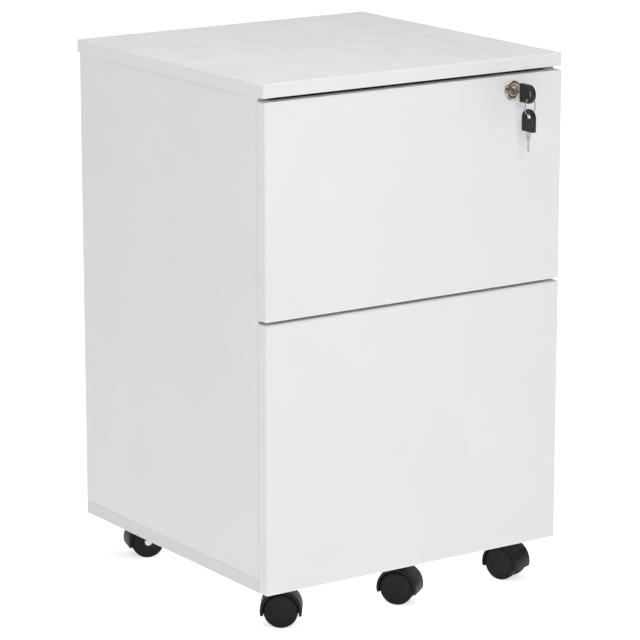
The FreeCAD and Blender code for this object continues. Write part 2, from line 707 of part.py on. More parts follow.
for thing in doc.Objects:
    if "Invalid" in thing.State or "Error" in thing.State:
        raise RuntimeError(f"{thing.Name} ({thing.Label}) failed: {thing.State}")
for node in nodes:
    if node.Shape.isNull() or not node.Shape.isValid() or not node.Shape.Solids:
        raise RuntimeError(f"{node.Label} has no valid solid")
for node in nodes:
    node.Shape.exportStep(f"parts/{node.Label}.step")
print(len(nodes), "sub-parts written")
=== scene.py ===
"""Looks of the rolling pedestal cabinet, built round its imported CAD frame.

Everything is in metres in the frame's axes: +Z up, the drawer fronts face -Y and the floor is at zero.
The boards, slides and lock case are the CAD's own meshes with new materials. The casters, keys, lock face,
screws and cam fittings are finer meshes that stand for their CAD nodes.
"""
import json
import math

import bmesh
import bpy
from mathutils import Matrix, Vector


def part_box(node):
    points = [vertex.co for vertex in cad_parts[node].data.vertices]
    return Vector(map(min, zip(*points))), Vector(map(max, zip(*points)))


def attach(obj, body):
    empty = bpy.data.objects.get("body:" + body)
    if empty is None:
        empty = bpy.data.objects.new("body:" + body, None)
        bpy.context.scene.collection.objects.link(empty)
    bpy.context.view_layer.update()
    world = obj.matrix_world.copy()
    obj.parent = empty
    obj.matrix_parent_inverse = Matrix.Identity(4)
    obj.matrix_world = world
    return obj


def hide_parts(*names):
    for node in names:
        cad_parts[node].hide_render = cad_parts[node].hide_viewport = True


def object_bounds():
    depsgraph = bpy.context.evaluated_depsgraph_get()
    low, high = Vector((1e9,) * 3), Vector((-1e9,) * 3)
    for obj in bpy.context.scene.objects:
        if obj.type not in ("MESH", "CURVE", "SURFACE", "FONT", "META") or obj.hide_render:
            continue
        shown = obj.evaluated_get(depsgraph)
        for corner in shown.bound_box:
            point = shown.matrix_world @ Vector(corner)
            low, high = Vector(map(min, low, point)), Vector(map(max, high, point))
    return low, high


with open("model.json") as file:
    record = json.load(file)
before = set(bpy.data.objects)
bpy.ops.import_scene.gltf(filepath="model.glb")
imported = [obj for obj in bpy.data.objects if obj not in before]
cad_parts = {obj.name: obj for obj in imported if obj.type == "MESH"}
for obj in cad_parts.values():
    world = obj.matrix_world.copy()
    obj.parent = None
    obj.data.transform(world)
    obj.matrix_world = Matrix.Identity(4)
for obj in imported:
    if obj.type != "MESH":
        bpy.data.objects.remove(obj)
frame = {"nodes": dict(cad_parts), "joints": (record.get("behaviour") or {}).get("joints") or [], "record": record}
cad_low, cad_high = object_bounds()

MM = 0.001
JOINTS = {joint["name"]: joint for joint in frame["joints"]}
BODIES = frame["record"]["behaviour"]["bodies"]
BODY_OF = {node: body for body, members in BODIES.items() for node in members}
SLOT_OF = {part["node"]: part["material_slot"] for part in frame["record"]["subparts"]}


# ----------------------------------------------------------------------------- materials
class Recipe:
    """A material being made: its Principled shader, and short calls that add nodes in front of it."""

    def __init__(self, name, **constants):
        self.material = bpy.data.materials.new(name)
        self.material.use_nodes = True
        self.tree = self.material.node_tree
        self.shader = self.tree.nodes["Principled BSDF"]
        for socket, value in constants.items():
            self.shader.inputs[socket.replace("_", " ")].default_value = value
        self.place = self.add("ShaderNodeTexCoord").outputs["Object"]
        self.normal = None

    def add(self, kind, settings=None, **inputs):
        """A node, its settings, and its inputs: each a value or another node's output."""
        node = self.tree.nodes.new(kind)
        for name, value in (settings or {}).items():
            setattr(node, name, value)
        for name, value in inputs.items():
            numbered = name[0] == "i" and name[1:].isdigit()
            socket = node.inputs[int(name[1:]) if numbered else name.replace("_", " ")]
            if isinstance(value, bpy.types.NodeSocket):
                self.tree.links.new(value, socket)
            else:
                socket.default_value = value
        return node

    def math(self, operation, first, second=0.0):
        return self.add("ShaderNodeMath", {"operation": operation}, i0=first, i1=second).outputs[0]

    def vector(self, operation, first, second=(0, 0, 0)):
        node = self.add("ShaderNodeVectorMath", {"operation": operation}, i0=first, i1=second)
        return node.outputs["Value" if operation == "LENGTH" else "Vector"]

    def noise(self, size, detail=2.0, stretch=(1, 1, 1), roughness=0.5):
        """Cloudy noise whose features are about size metres across, stretched along the axes."""
        scaled = self.vector("MULTIPLY", self.place, tuple(1 / (size * s) for s in stretch))
        return self.add("ShaderNodeTexNoise", Vector=scaled, Scale=1.0, Detail=detail,
                        Roughness=roughness).outputs["Fac"]

    def cells(self, size, feature="F1"):
        scaled = self.vector("MULTIPLY", self.place, (1 / size,) * 3)
        return self.add("ShaderNodeTexVoronoi", {"feature": feature}, Vector=scaled, Scale=1.0)

    def span(self, value, low, high, start=0.0, stop=1.0):
        """Stretch a value from low..high to start..stop, held at the ends."""
        return self.add("ShaderNodeMapRange", i0=value, i1=low, i2=high, i3=start, i4=stop).outputs[0]

    def blend(self, share, first, second):
        """One colour into another by a share from 0 to 1."""
        node = self.add("ShaderNodeMix", {"data_type": "RGBA"})
        for index, value in ((0, share), (6, first), (7, second)):
            if isinstance(value, bpy.types.NodeSocket):
                self.tree.links.new(value, node.inputs[index])
            else:
                node.inputs[index].default_value = value if index == 0 else (*value[:3], 1)
        return node.outputs[2]

    def colour(self, value):
        self.tree.links.new(value, self.shader.inputs["Base Color"])

    def rough(self, value):
        self.tree.links.new(value, self.shader.inputs["Roughness"])

    def bump(self, height, depth):
        """Raise the surface by a height of 0 to 1, depth metres at most. Calls add up."""
        inputs = {"Height": height, "Distance": depth, "Strength": 1.0}
        if self.normal:
            inputs["Normal"] = self.normal
        self.normal = self.add("ShaderNodeBump", **inputs).outputs["Normal"]
        self.tree.links.new(self.normal, self.shader.inputs["Normal"])


def melamine(name, light, shade, node=None):
    """Satin melamine paper: a fine pearl grain, faint clouds, and the edge band's joint on its faces."""
    recipe = Recipe(name, IOR=1.48)
    cloud = recipe.noise(0.11, 3)
    speck = recipe.noise(0.0011, 2)
    colour = recipe.blend(recipe.span(cloud, 0.3, 0.7), light, shade)
    colour = recipe.blend(recipe.span(speck, 0.62, 0.8, 0, 0.14), colour, [c * 0.9 for c in light])
    if node:
        colour = recipe.blend(band_joint(recipe, node), colour, [c * 0.62 for c in shade])
    recipe.colour(colour)
    recipe.rough(recipe.span(recipe.noise(0.035, 4), 0.3, 0.7, 0.40, 0.52))
    recipe.bump(recipe.noise(0.0007, 3), 0.000012)
    recipe.bump(recipe.noise(0.006, 2), 0.00002)
    return recipe.material


def band_joint(recipe, node):
    """A share above 0 on the thin line where a board's 2 mm edge band meets its broad faces."""
    low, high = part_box(node)
    centre, half = (low + high) / 2, (high - low) / 2
    thin = min(range(3), key=lambda axis: half[axis])
    from_middle = recipe.vector("ABSOLUTE", recipe.vector("SUBTRACT", recipe.place, tuple(centre)))
    inwards = recipe.add("ShaderNodeSeparateXYZ", Vector=recipe.vector("SUBTRACT", tuple(half), from_middle))
    flat = [inwards.outputs[axis] for axis in range(3) if axis != thin]
    to_edge = recipe.math("MINIMUM", *flat)
    off_line = recipe.math("ABSOLUTE", recipe.math("SUBTRACT", to_edge, 2.0 * MM))
    line = recipe.span(off_line, 0.05 * MM, 0.14 * MM, 0.3, 0)
    on_face = recipe.span(inwards.outputs[thin], 0.1 * MM, 0.3 * MM, 1, 0)
    return recipe.math("MULTIPLY", line, on_face)


def hardboard(name):
    """Thin fibreboard with a white foil above and bare pressed fibres below."""
    recipe = Recipe(name)
    up = recipe.add("ShaderNodeSeparateXYZ", Vector=recipe.add("ShaderNodeNewGeometry").outputs["Normal"])
    fibres = recipe.noise(0.0012, 4, (3, 1, 1))
    bare = recipe.blend(recipe.span(fibres, 0.3, 0.7), (0.36, 0.25, 0.16), (0.50, 0.37, 0.25))
    foil = recipe.blend(recipe.noise(0.06, 3), (0.78, 0.775, 0.76), (0.81, 0.805, 0.79))
    recipe.colour(recipe.blend(recipe.span(up.outputs[2], 0.4, 0.6), bare, foil))
    recipe.rough(recipe.span(fibres, 0.2, 0.8, 0.5, 0.68))
    recipe.bump(fibres, 0.00005)
    return recipe.material


def zinc_sheet(name, light, dark):
    """Zinc-plated sheet steel: faint crystal spangle and drawing lines along the slide."""
    recipe = Recipe(name, Metallic=1.0)
    spangle = recipe.cells(0.004).outputs["Color"]
    lines = recipe.noise(0.0006, 3, (1, 60, 1))
    tone = recipe.math("ADD", recipe.math("MULTIPLY", recipe.span(spangle, 0, 1), 0.5),
                       recipe.math("MULTIPLY", lines, 0.5))
    recipe.colour(recipe.blend(recipe.span(tone, 0.2, 0.8), dark, light))
    recipe.rough(recipe.span(lines, 0.3, 0.7, 0.26, 0.42))
    recipe.bump(lines, 0.000012)
    return recipe.material


def cast_metal(name, light, dark, low_rough, high_rough):
    """Plated casting or turned metal: soft clouding, a fine tooth and small pits."""
    recipe = Recipe(name, Metallic=1.0)
    cloud = recipe.noise(0.004, 4)
    pits = recipe.noise(0.0005, 2)
    recipe.colour(recipe.blend(recipe.span(cloud, 0.3, 0.7), dark, light))
    recipe.rough(recipe.span(cloud, 0.3, 0.7, low_rough, high_rough))
    recipe.bump(pits, 0.000008)
    return recipe.material


def moulded(name, light, dark, low_rough, high_rough, grain, depth, shine=0.5):
    """Moulded plastic: a spark-eroded grain, slight flow marks and scuffs that catch the light."""
    recipe = Recipe(name, IOR=1.5, Specular_IOR_Level=shine)
    flow = recipe.noise(0.012, 3, (1, 1, 2))
    tooth = recipe.noise(grain, 3)
    scuff = recipe.span(recipe.noise(0.003, 5, (1, 4, 1)), 0.62, 0.75)
    colour = recipe.blend(recipe.span(flow, 0.3, 0.7), dark, light)
    recipe.colour(recipe.blend(recipe.math("MULTIPLY", scuff, 0.25), colour, [c * 1.9 for c in light]))
    recipe.rough(recipe.span(tooth, 0.3, 0.7, low_rough, high_rough))
    recipe.bump(tooth, depth)
    return recipe.material


WHITE, WHITE_SHADE = (0.80, 0.80, 0.81), (0.785, 0.782, 0.80)
# Painted shade: the base panel is the same white melamine as the other boards, but its colours are scaled to 0.9
# so the low strip under the fronts looks shaded.
BASE_PAINTED_SHADE = 0.90
BOARDS = ["top_panel", "left_side_panel", "right_side_panel", "base_panel", "back_panel", "mid_rail",
          "upper_front", "lower_front"]
finishes = {
    "drawer_melamine": melamine("drawer_melamine", (0.77, 0.77, 0.765), (0.75, 0.75, 0.745)),
    "hardboard": hardboard("hardboard"),
    "zinc_steel": zinc_sheet("zinc_steel", (0.72, 0.73, 0.75), (0.50, 0.51, 0.53)),
    "zinc_casting": cast_metal("zinc_casting", (0.62, 0.63, 0.64), (0.45, 0.45, 0.46), 0.34, 0.48),
    "screw_steel": cast_metal("screw_steel", (0.66, 0.66, 0.67), (0.46, 0.46, 0.48), 0.22, 0.34),
    "lock_nickel": cast_metal("lock_nickel", (0.47, 0.39, 0.33), (0.26, 0.20, 0.165), 0.12, 0.22),
    "key_steel": cast_metal("key_steel", (0.66, 0.66, 0.62), (0.50, 0.50, 0.46), 0.24, 0.36),
    "ring_wire": cast_metal("ring_wire", (0.40, 0.39, 0.37), (0.26, 0.25, 0.24), 0.26, 0.38),
    "key_plastic": moulded("key_plastic", (0.013, 0.0115, 0.0135), (0.008, 0.0072, 0.0085), 0.34, 0.44,
                           0.0006, 0.00002, 0.38),
    "caster_plastic": moulded("caster_plastic", (0.009, 0.009, 0.0085), (0.005, 0.005, 0.005), 0.44, 0.58,
                              0.0007, 0.00004, 0.26),
    "wheel_plastic": moulded("wheel_plastic", (0.0085, 0.0080, 0.0085), (0.006, 0.0056, 0.006), 0.48, 0.62,
                             0.0005, 0.00003, 0.22),
    "caster_plate_steel": moulded("caster_plate_steel", (0.020, 0.020, 0.020), (0.012, 0.012, 0.012),
                                  0.35, 0.50, 0.0009, 0.00003),
    "axle_steel": cast_metal("axle_steel", (0.70, 0.70, 0.71), (0.50, 0.50, 0.52), 0.20, 0.32),
    "rail_plastic": moulded("rail_plastic", (0.72, 0.72, 0.71), (0.69, 0.69, 0.68), 0.30, 0.40,
                            0.0010, 0.00002),
}


def give(thing, material):
    """Put one material in every slot of an object."""
    slots = thing.data.materials
    if not slots:
        slots.append(material)
    for index in range(len(slots)):
        slots[index] = material


for node, thing in frame["nodes"].items():
    if node in BOARDS:
        # The base panel's colours are scaled down by the painted-shade factor; the other boards keep the full
        # white.
        tone = BASE_PAINTED_SHADE if node == "base_panel" else 1.0
        give(thing, melamine(f"white_melamine_{node}", [tone * c for c in WHITE],
                             [tone * c for c in WHITE_SHADE], node))
    else:
        give(thing, finishes[SLOT_OF[node]])


# ----------------------------------------------------------------------------- mesh shapes
def filleted(corners, closed=True, steps=4):
    """An outline's points, with each corner (across, up, radius) rounded by its radius."""
    count = len(corners)
    points = []
    for k, (across, up, radius) in enumerate(corners):
        corner = Vector((across, up))
        if radius == 0 or not closed and k in (0, count - 1):
            points.append(corner)
            continue
        before = (Vector(corners[k - 1][:2]) - corner).normalized()
        after = (Vector(corners[(k + 1) % count][:2]) - corner).normalized()
        half_angle = before.angle(after) / 2
        centre = corner + (before + after).normalized() * radius / math.sin(half_angle)
        start = corner + before * radius / math.tan(half_angle) - centre
        sweep = start.angle_signed(corner + after * radius / math.tan(half_angle) - centre)
        for step in range(steps + 1):
            points.append(centre + Matrix.Rotation(-sweep * step / steps, 2) @ start)
    return points


def to_mesh(bm):
    bmesh.ops.remove_doubles(bm, verts=bm.verts, dist=0.002 * MM)
    bmesh.ops.recalc_face_normals(bm, faces=bm.faces)
    mesh = bpy.data.meshes.new("shape")
    bm.to_mesh(mesh)
    bm.free()
    return mesh


def lathe(profile, steps=96):
    """A profile of (radius, along) millimetres turned about local Y; off the axis, it is a closed loop."""
    bm = bmesh.new()
    rings = []
    for radius, along in profile:
        turns = [0.0] if radius < 0.001 else [math.tau * k / steps for k in range(steps)]
        rings.append([bm.verts.new(Vector((radius * math.cos(t), along, radius * math.sin(t))) * MM)
                      for t in turns])
    pairs = list(zip(rings, rings[1:]))
    if len(rings[0]) > 1:
        pairs.append((rings[-1], rings[0]))
    for first, second in pairs:
        for k in range(steps):
            around = [first[k % len(first)], first[(k + 1) % len(first)],
                      second[(k + 1) % len(second)], second[k % len(second)]]
            bm.faces.new(list(dict.fromkeys(around)))
    return to_mesh(bm)


def prism(outline, low, high, axis="X"):
    """An outline extruded along an axis. Its two coordinates are the other axes, in the order X, Y, Z."""
    index = "XYZ".index(axis)

    def point(flat, along):
        values = list(flat)
        values.insert(index, along)
        return Vector(values) * MM

    bm = bmesh.new()
    ends = [[bm.verts.new(point(flat, along)) for flat in outline] for along in (low, high)]
    count = len(outline)
    for k in range(count):
        bm.faces.new([ends[0][k], ends[0][(k + 1) % count], ends[1][(k + 1) % count], ends[1][k]])
    for end in ends:
        bm.faces.new(end)
    return to_mesh(bm)


def brick(low, high):
    """A box-shaped cutter between two corners in millimetres."""
    outline = [(low[1], low[2]), (high[1], low[2]), (high[1], high[2]), (low[1], high[2])]
    return prism(outline, low[0], high[0])


def disc_outline(radius, across=0.0, up=0.0, steps=48):
    return [(across + radius * math.cos(math.tau * k / steps), up + radius * math.sin(math.tau * k / steps))
            for k in range(steps)]


def shaped(mesh, add=(), cut=(), bevel=0.0):
    """A mesh with others joined to it, then others cut out of it, and its sharp edges bevelled (mm)."""
    helpers = []

    def helper(data):
        thing = bpy.data.objects.new("helper", data)
        bpy.context.scene.collection.objects.link(thing)
        helpers.append(thing)
        return thing

    base = helper(mesh)
    for operation, tools in (("UNION", add), ("DIFFERENCE", cut)):
        for tool in tools:
            step = base.modifiers.new("boolean", "BOOLEAN")
            step.operation, step.solver, step.object = operation, "EXACT", helper(tool)
    if bevel:
        step = base.modifiers.new("bevel", "BEVEL")
        step.width, step.segments = bevel * MM, 2
        step.limit_method, step.angle_limit = "ANGLE", math.radians(40)
    result = bpy.data.meshes.new_from_object(base.evaluated_get(bpy.context.evaluated_depsgraph_get()))
    for thing in helpers:
        bpy.data.objects.remove(thing)
    return result


def gather(placed):
    """One mesh out of (mesh, place) pairs."""
    bm = bmesh.new()
    for mesh, place in placed:
        copy = mesh.copy()
        copy.transform(place)
        bm.from_mesh(copy)
    whole = bpy.data.meshes.new("shape")
    bm.to_mesh(whole)
    bm.free()
    return whole


def show(name, placed, node):
    """Show meshes, as (mesh, place) pairs, instead of a CAD node and on its body."""
    mesh = gather(placed)
    mesh.polygons.foreach_set("use_smooth", [True] * len(mesh.polygons))
    mesh.set_sharp_from_angle(angle=math.radians(38))
    piece = bpy.data.objects.new(name, mesh)
    bpy.context.scene.collection.objects.link(piece)
    give(piece, finishes[SLOT_OF[node]])
    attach(piece, BODY_OF[node])
    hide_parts(node)
    return piece


def shift(across=0.0, back=0.0, up=0.0):
    return Matrix.Translation(Vector((across, back, up)) * MM)


def axes(origin, across, along):
    """A frame at an origin in metres: its X and Y axes are given, and its Z axis is square to them."""
    turn = Matrix((across, along, across.cross(along))).transposed()
    return Matrix.Translation(origin) @ turn.to_4x4()


# ----------------------------------------------------------------------------- casters
CASTERS = ["front_left", "front_middle", "front_right", "back_left", "back_right"]
HALF_WIDE, WHEEL_WIDE, WHEEL_RADIUS, HOOD_RADIUS, WELL_RADIUS = 15.7, 10.5, 19.5, 23.7, 20.4
HALF_WEB, BORE, SKIRT, PLATE_SIDE, PLATE_THICK, SCREW_PITCH = 4.2, 2.55, 14.0, 38.0, 2.5, 28.0
CAP = 4.6


def wheel_mesh(through):
    """A twin-wheel caster's wheel: dished outer face with a stepped rim, hollow inner face, and its hub.

    Along Y, the axle's middle is at 0 and the outer face is near HALF_WIDE. A through hub has a seat for
    the axle's head, and a blind one is closed.
    """
    outer, inner = HALF_WIDE - 0.3, HALF_WIDE - 0.3 - WHEEL_WIDE
    tread = [(BORE, inner, 0), (5.2, inner, 0.4), (5.6, inner + 6.0, 0.8), (16.4, inner + 6.0, 1.0),
             (16.8, inner, 0.4), (WHEEL_RADIUS, inner, 1.2), (WHEEL_RADIUS, outer - 0.15, 2.0),
             (17.6, outer - 0.15, 0.3), (17.35, outer - 0.55, 0.15), (16.9, outer - 0.55, 0.15),
             (16.7, outer - 0.2, 0.3), (11.5, outer - 0.75, 6)]
    if through:
        hub = [(CAP + 1.9, outer - 0.6, 0.5), (CAP + 1.4, outer - 0.15, 0.3),
               (CAP + 0.4, outer - 0.15, 0.2), (CAP + 0.3, outer - 0.8, 0), (BORE, outer - 0.8, 0)]
        return lathe(filleted(tread + hub))
    start = [(0, outer - 2.4, 0), (BORE, outer - 2.4, 0)]
    return lathe(filleted(start + tread + [(0, outer - 0.85, 0)], closed=False))


def hood_mesh(swivel):
    """The hood between and over the wheels, with its swivel boss, cut level at the skirt."""
    half = HALF_WIDE
    shell = lathe(filleted([(0, -half, 0), (HOOD_RADIUS, -half, 1.6), (HOOD_RADIUS, half, 1.6), (0, half, 0)],
                           closed=False))
    boss = prism(disc_outline(11, swivel), 2, 28, "Z")
    well = filleted([(0, HALF_WEB, 0), (WELL_RADIUS, HALF_WEB, 1.0), (WELL_RADIUS, half - 0.3, 0.2),
                     (WELL_RADIUS + 0.5, half + 2, 0), (0, half + 2, 0)], closed=False)
    wells = [lathe(well), lathe([(radius, -along) for radius, along in well])]
    kingpin_bore = prism(disc_outline(3.05, swivel), 2, 40, "Z")
    axle_bore = lathe([(0, -30), (BORE, -30), (BORE, 30), (0, 30)], 32)
    ground = brick((-60, -60, -60), (60, 60, SKIRT - WHEEL_RADIUS))
    return shaped(shell, add=[boss], cut=wells + [kingpin_bore, axle_bore, ground], bevel=0.25)


def axle_mesh(head_side):
    """A plain pin with one domed, dimpled rivet head."""
    pin_end, seat = HALF_WIDE - 3.0, HALF_WIDE - 0.95
    profile = filleted([(0, -pin_end, 0), (2.5, -pin_end, 0.4), (2.5, seat, 0), (CAP, seat, 0.1),
                        (CAP - 0.15, seat + 0.55, 0.4), (CAP - 1.5, seat + 1.05, 2), (1.2, seat + 1.1, 0.3),
                        (0.7, seat + 0.7, 0.3), (0, seat + 0.65, 0)], closed=False)
    return lathe([(radius, head_side * along) for radius, along in profile], 48)


def cross_screw():
    """A pan-head screw with a cross recess, its seat at 0 and its head towards +Y."""
    profile = filleted([(0, -9, 0), (0.5, -8.6, 0.2), (1.5, -6.5, 0), (1.55, -0.2, 0), (1.6, 0, 0),
                        (3.2, 0, 0.1), (3.15, 0.7, 0.5), (2.2, 1.35, 1.2), (0, 1.4, 0)], closed=False)
    slots = [brick((-1.7, 0.55, -0.32), (1.7, 3, 0.32)), brick((-0.32, 0.55, -1.7), (0.32, 3, 1.7))]
    return shaped(lathe(profile, 48), cut=slots)


def make_casters():
    plates, screws = [], []
    corner = PLATE_SIDE / 2
    square = filleted([(-corner, -corner, 5), (corner, -corner, 5),
                       (corner, corner, 5), (-corner, corner, 5)])
    plate = shaped(prism(square, 0, PLATE_THICK, "Z"), bevel=0.35)
    race = lathe(filleted([(4, -0.4, 0), (4, -2.2, 0.4), (10.5, -2.2, 0.6), (12.5, 0.2, 0.5),
                           (4, 0.3, 0)]), 64)
    pin = lathe(filleted([(0, 26, 0), (2.6, 26, 0), (3, 25.4, 0), (3, -1, 0), (0, -1, 0)], closed=False), 32)
    upright = Matrix.Rotation(math.radians(90), 4, "X")
    for name in CASTERS:
        spin, turn = JOINTS[f"{name}_left_wheel_spin"], JOINTS[f"{name}_caster_swivel"]
        along = Vector(spin["axis"])
        frame_here = axes(Vector(spin["pos_m"]), along.cross(Vector((0, 0, 1))), along)
        swivel = (frame_here.inverted() @ Vector(turn["pos_m"])).x / MM
        head_side = 1 if name.startswith("front") or name == "back_right" else -1
        show(f"{name}_hood", [(hood_mesh(swivel), frame_here)], f"caster_{name}_hood")
        show(f"{name}_axle", [(axle_mesh(head_side), frame_here)], f"caster_{name}_axle")
        for hand, side in (("left", -1), ("right", 1)):
            mirror = Matrix.Rotation(math.pi, 4, "Z") if side < 0 else Matrix()
            show(f"{name}_{hand}_wheel", [(wheel_mesh(side == head_side), frame_here @ mirror)],
                 f"caster_{name}_{hand}_wheel")
        base = Vector((turn["pos_m"][0], turn["pos_m"][1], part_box("base_panel")[0].z - PLATE_THICK * MM))
        plates += [(plate, Matrix.Translation(base)), (race, Matrix.Translation(base) @ upright),
                   (pin, Matrix.Translation(base) @ upright)]
        for across in (-SCREW_PITCH / 2, SCREW_PITCH / 2):
            for back in (-SCREW_PITCH / 2, SCREW_PITCH / 2):
                down = Matrix.Rotation(math.radians(-90), 4, "X")
                screws.append((SCREW, Matrix.Translation(base) @ shift(across, back) @ down))
    show("caster_plate_set", plates, "caster_plates")
    show("caster_screw_set", screws, "caster_screws")


# ----------------------------------------------------------------------------- lock and keys
LOCK = Vector(JOINTS["lock_turn"]["pos_m"])
EYE = Vector((*JOINTS["ring_swing"]["pos_m"][:2], LOCK.z))
RING_TOP, RING_LOW = (Vector(JOINTS[name]["pos_m"]) for name in ("ring_swing", "spare_key_swing"))
HEAD_ROOT, HEAD_OUTER, HEAD_HALF = 17.1, -8.2, 10.5
EYE_HALF_WIDE, EYE_HALF_TALL = 5.0, 2.5
TANG_LONG, COLLAR_LONG, BLADE_LONG = 6, 8.5, 15


def make_lock():
    """The stepped nickel rosette and, inside it, the plug with its dished face and keyway."""
    outwards = Matrix.Translation(LOCK) @ Matrix.Rotation(math.pi, 4, "Z")
    ring = lathe(filleted([(6.9, 0.02, 0), (11.25, 0.02, 0), (11.25, 0.8, 0.3), (10.6, 1.75, 0.8),
                           (9.3, 2.45, 0.6), (8.5, 2.5, 0.3), (8.1, 1.9, 0.3), (7.6, 1.6, 0.2),
                           (6.9, 1.5, 0.2)]))
    show("rosette", [(ring, outwards)], "lock_rosette")
    face = filleted([(0, -21.2, 0), (6.5, -21.2, 0.5), (6.5, 1.8, 0.7), (4.6, 1.75, 0.6),
                     (3.6, 1.2, 0.8), (0, 1.15, 0)], closed=False)
    pin = lathe(filleted([(0, -21.3, 0), (1.5, -21.3, 0.3), (1.5, -16, 0), (0, -16, 0)], closed=False), 24)
    pin.transform(shift(0, 0, -4.5))
    keyway = brick((-1.0, -14, -2.3), (1.0, 5, 2.3))
    show("plug", [(shaped(lathe(face), add=[pin], cut=[keyway], bevel=0.12), outwards)], "lock_plug")


def key_head_mesh():
    """A moulded head: flat root with grip ridges, and a round end with a raised rim round its eye."""
    bow = HEAD_OUTER + HEAD_HALF
    steps = 28
    arc = [(bow - HEAD_HALF * math.sin(math.pi * k / steps), HEAD_HALF * math.cos(math.pi * k / steps), 0)
           for k in range(steps + 1)]
    outline = filleted(arc + [(HEAD_ROOT, -HEAD_HALF, 1.0), (HEAD_ROOT, HEAD_HALF, 1.0)])
    body = prism(outline, -1.8, 1.8)
    eye = filleted([(-EYE_HALF_TALL, -EYE_HALF_WIDE, 2.4), (EYE_HALF_TALL, -EYE_HALF_WIDE, 2.4),
                    (EYE_HALF_TALL, EYE_HALF_WIDE, 2.4), (-EYE_HALF_TALL, EYE_HALF_WIDE, 2.4)], steps=8)
    cutters = [prism(eye, -3, 3), brick((-0.85, HEAD_ROOT - 6, -4.05), (0.85, HEAD_ROOT + 1, 4.05))]
    collar = [(1.28 * across, 1.2 * up) for across, up in eye]
    for low, high in ((1.25, 3), (-3, -1.25)):
        dish = prism(disc_outline(HEAD_HALF - 1.7, bow), low, high)
        keep_root = brick((-4, bow + 4.2, -12), (4, 30, 12))
        cutters.append(shaped(dish, cut=[keep_root, prism(collar, -4, 4)]))
    for ridge in range(4):
        start = bow + 6.4 + 1.9 * ridge
        cutters += [brick((side - 0.3, start, -7.6), (side + 0.3, start + 0.8, 7.6)) for side in (-1.8, 1.8)]
    return shaped(body, cut=cutters, bevel=0.22)


def key_blade_mesh():
    """The nickel blank: a collar against the head, and a grooved blade with bitting and a pointed tip."""
    start, collar = HEAD_ROOT - TANG_LONG, HEAD_ROOT + COLLAR_LONG
    tip = collar + BLADE_LONG
    half = 2.1
    cuts = [(tip - 11.6, half), (tip - 10.8, 0.9), (tip - 9.9, 0.9), (tip - 9.0, 1.7), (tip - 8.0, 0.5),
            (tip - 7.1, 0.5), (tip - 6.1, 1.5), (tip - 5.2, 1.1), (tip - 4.3, 1.1), (tip - 3.4, 1.9),
            (tip - 2.6, 0.7), (tip - 1.8, 0.7)]
    outline = filleted([(start, -4, 0), (collar, -4, 1.2), (collar, -half, 0), (tip - 1.6, -half, 0.3),
                        (tip, -0.3, 0.2), (tip, 0.3, 0.2)]
                       + [(along, up, 0) for along, up in reversed(cuts)]
                       + [(collar, half, 0), (collar, 4, 1.2), (start, 4, 0)])
    grooves = [brick((side - 0.35, HEAD_ROOT + 4.5, -0.9), (side + 0.35, tip + 1, 0.1))
               for side in (-0.8, 0.8)]
    return shaped(prism(outline, -0.8, 0.8), cut=grooves, bevel=0.08)


def make_keys():
    head, blade = key_head_mesh(), key_blade_mesh()
    hanging = (Matrix.Translation(RING_LOW) @ shift(0, 1.7, -1.2) @ Matrix.Rotation(math.radians(1.5), 4, "Z")
               @ Matrix.Rotation(math.radians(-90), 4, "X"))
    for name, place in (("key", Matrix.Translation(EYE)), ("spare_key", hanging)):
        show(f"{name}_grip", [(head, place)], f"{name}_head")
        show(f"{name}_blank", [(blade, place)], f"{name}_blade")


def make_key_ring():
    """A split ring: two turns of flattened wire side by side, stepping over at one place."""
    radius, turns, steps = (RING_TOP - RING_LOW).length / 2 / MM, 2.0, 128
    hinge = Vector(JOINTS["ring_swing"]["axis"])
    axis = hinge.cross(Vector((0, 0, 1)))
    place = axes((RING_TOP + RING_LOW) / 2, hinge, axis)
    curve = bpy.data.curves.new("split_ring", "CURVE")
    curve.dimensions = "3D"
    curve.bevel_depth, curve.bevel_resolution, curve.use_fill_caps = 0.32 * MM, 3, True
    wire = curve.splines.new("POLY")
    wire.points.add(int(steps * turns))
    for k, point in enumerate(wire.points):
        share = k / (steps * turns)
        angle = math.tau * turns * share + math.radians(35)
        over = min(max((share - 0.5) / 0.06 + 0.5, 0), 1)
        aside = 0.34 * (2 * over * over * (3 - 2 * over) - 1)
        spot = Vector((radius * math.cos(angle), aside, radius * math.sin(angle))) * MM
        point.co = (*spot, 1)
    maker = bpy.data.objects.new("wire", curve)
    bpy.context.scene.collection.objects.link(maker)
    mesh = bpy.data.meshes.new_from_object(maker.evaluated_get(bpy.context.evaluated_depsgraph_get()))
    bpy.data.objects.remove(maker)
    give(show("split_ring", [(mesh, place)], "key_ring"), finishes["ring_wire"])


# ----------------------------------------------------------------------------- fittings inside
SLIDE_STEEL, SLIDE_THICK, SLIDE_ROWS = 1.2, 12.7, (35, 163, 290)
LOCK_SCREW_ASIDE, FLANGE_THICK = 19, 1.5
CAM_EDGE, DRAWER_CAM_EDGE, CARCASS_CAM_ROW, BACK_CAM_HEIGHTS = 34, 30, 50, (60, 420)
SIDES = (-1, 1)


def cam_disc(deep):
    """A cam housing: a plated drum whose face has a rim and a cross slot, its face at 0 towards +Y."""
    profile = filleted([(0, -deep, 0), (7.4, -deep, 0.4), (7.4, 0, 0.35), (6.5, 0, 0.2),
                        (6.2, -0.7, 0.2), (0, -0.7, 0)], closed=False)
    slots = [brick((-3.6, -2.6, -0.6), (3.6, 3, 0.6)), brick((-0.6, -2.6, -3.6), (0.6, 3, 3.6))]
    return shaped(lathe(profile, 64), cut=slots, bevel=0.12)


def facing(origin, direction):
    """A frame whose Y axis points in a level direction."""
    return axes(origin, Vector((0, 0, 1)), Vector(direction))


